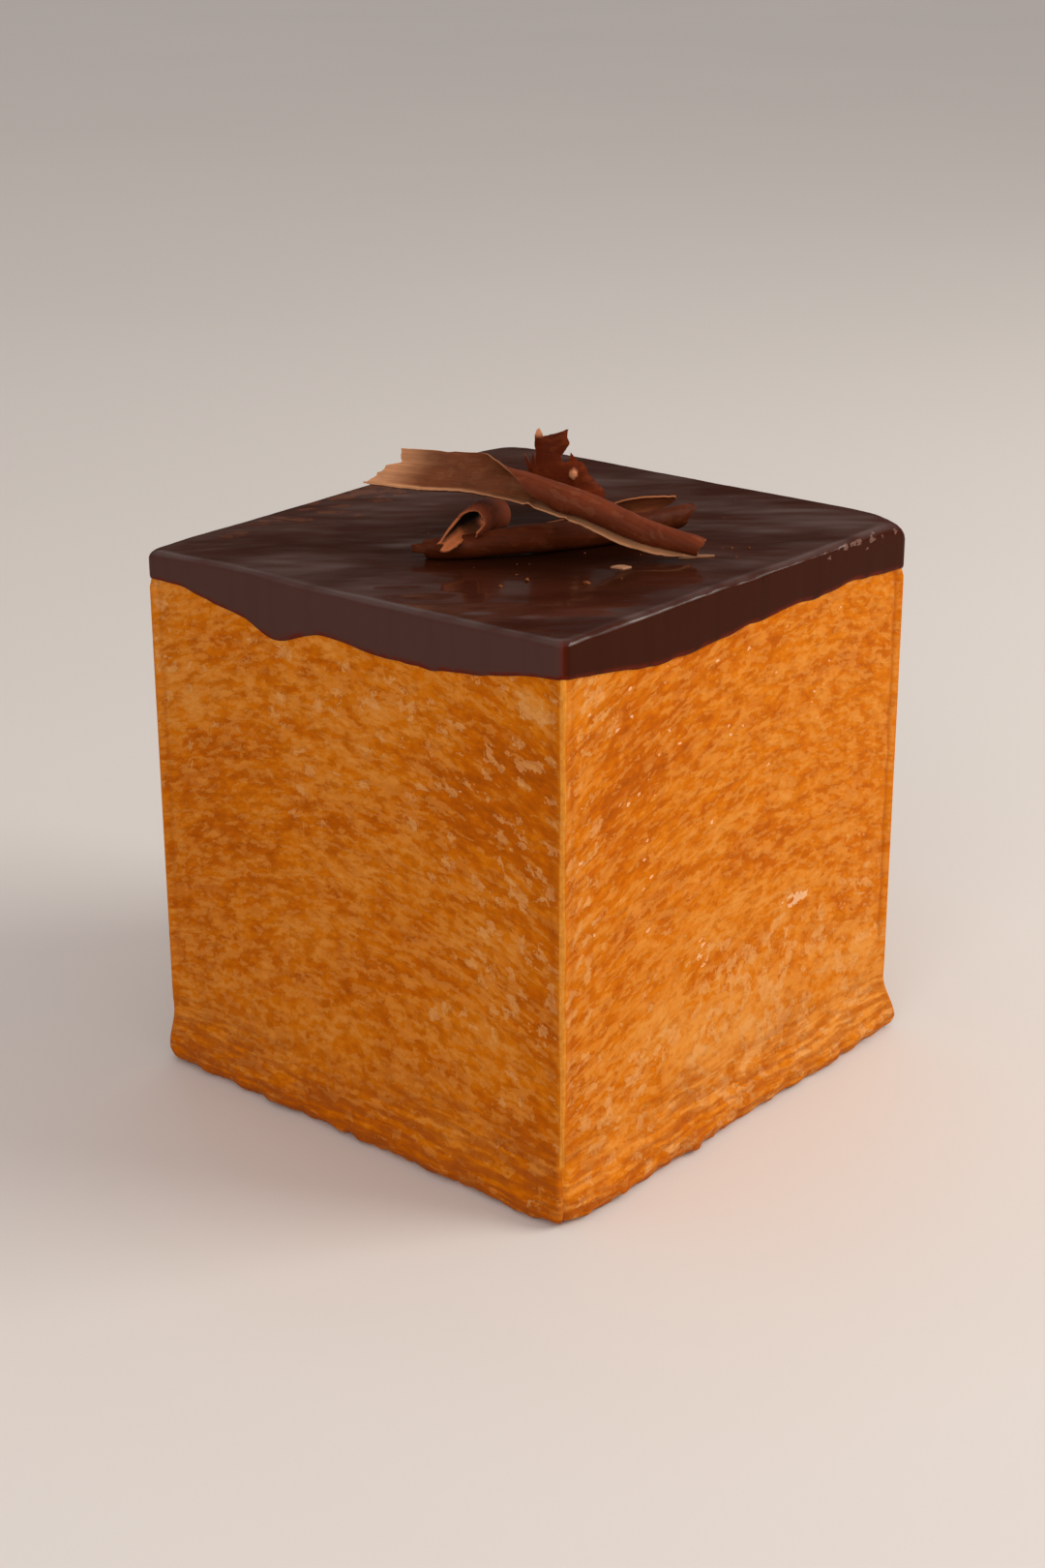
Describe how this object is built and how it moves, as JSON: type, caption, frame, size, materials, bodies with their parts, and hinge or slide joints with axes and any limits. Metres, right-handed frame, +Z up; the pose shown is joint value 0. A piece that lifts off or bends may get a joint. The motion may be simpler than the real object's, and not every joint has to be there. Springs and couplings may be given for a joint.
{
  "type": "puff pastry cube",
  "caption": "Cube of laminated puff pastry under a dark chocolate glaze cap with a small heap of chocolate curls on top.",
  "frame": {"origin": "middle of the flat base", "axes": "+Z up; -Y and +X are the two walls that the picture shows, left and right"},
  "size_m": [0.0856, 0.0877, 0.1006],
  "materials": {
    "baked_pastry": "browned laminated crust, buttery satin",
    "dark_glaze": "set dark chocolate glaze, glossy",
    "chocolate_curl": "shaved chocolate, satin with a paler inner face"
  },
  "bodies": {
    "root": {"pastry_cube": "baked_pastry", "chocolate_glaze": "dark_glaze", "curl_long": "chocolate_curl", "curl_under": "chocolate_curl", "curl_short": "chocolate_curl", "curl_upright": "chocolate_curl"}
  },
  "joints": []
}
